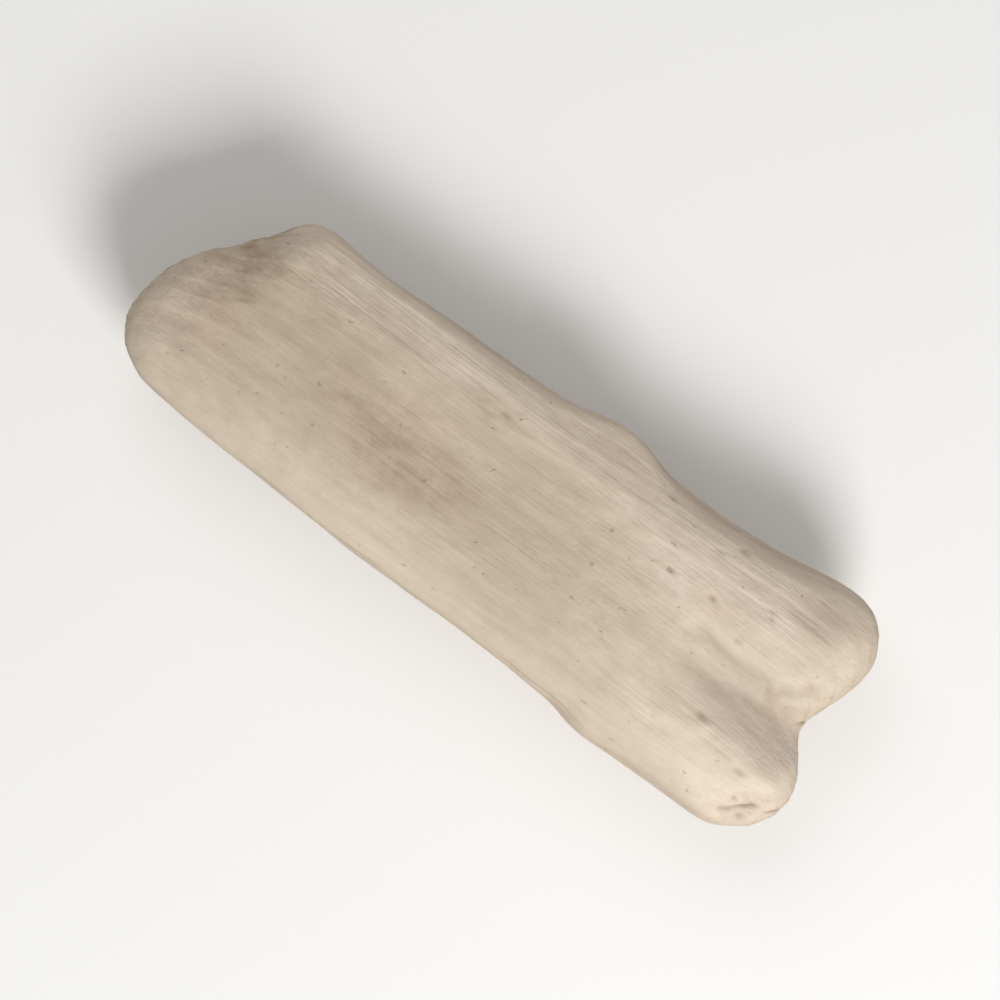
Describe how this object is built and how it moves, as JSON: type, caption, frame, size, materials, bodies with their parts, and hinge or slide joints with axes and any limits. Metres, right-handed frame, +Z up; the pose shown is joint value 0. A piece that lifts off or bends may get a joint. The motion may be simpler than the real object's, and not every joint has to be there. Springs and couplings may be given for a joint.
{
  "type": "piece of driftwood",
  "caption": "Short water-worn slab of driftwood, blunt and slanted at one end and shallowly forked at the other, lying on a flat belly; for display or craft.",
  "frame": {"origin": "on the resting plane, under the middle of the piece's box", "axes": "+X along the grain, from the blunt end to the fork; +Y across the broad face; +Z up out of the broad face"},
  "size_m": [0.1002, 0.0342, 0.0204],
  "materials": {
    "wood": "matt, bleached and water-worn"
  },
  "bodies": {
    "root": {"driftwood": "wood"}
  },
  "joints": []
}
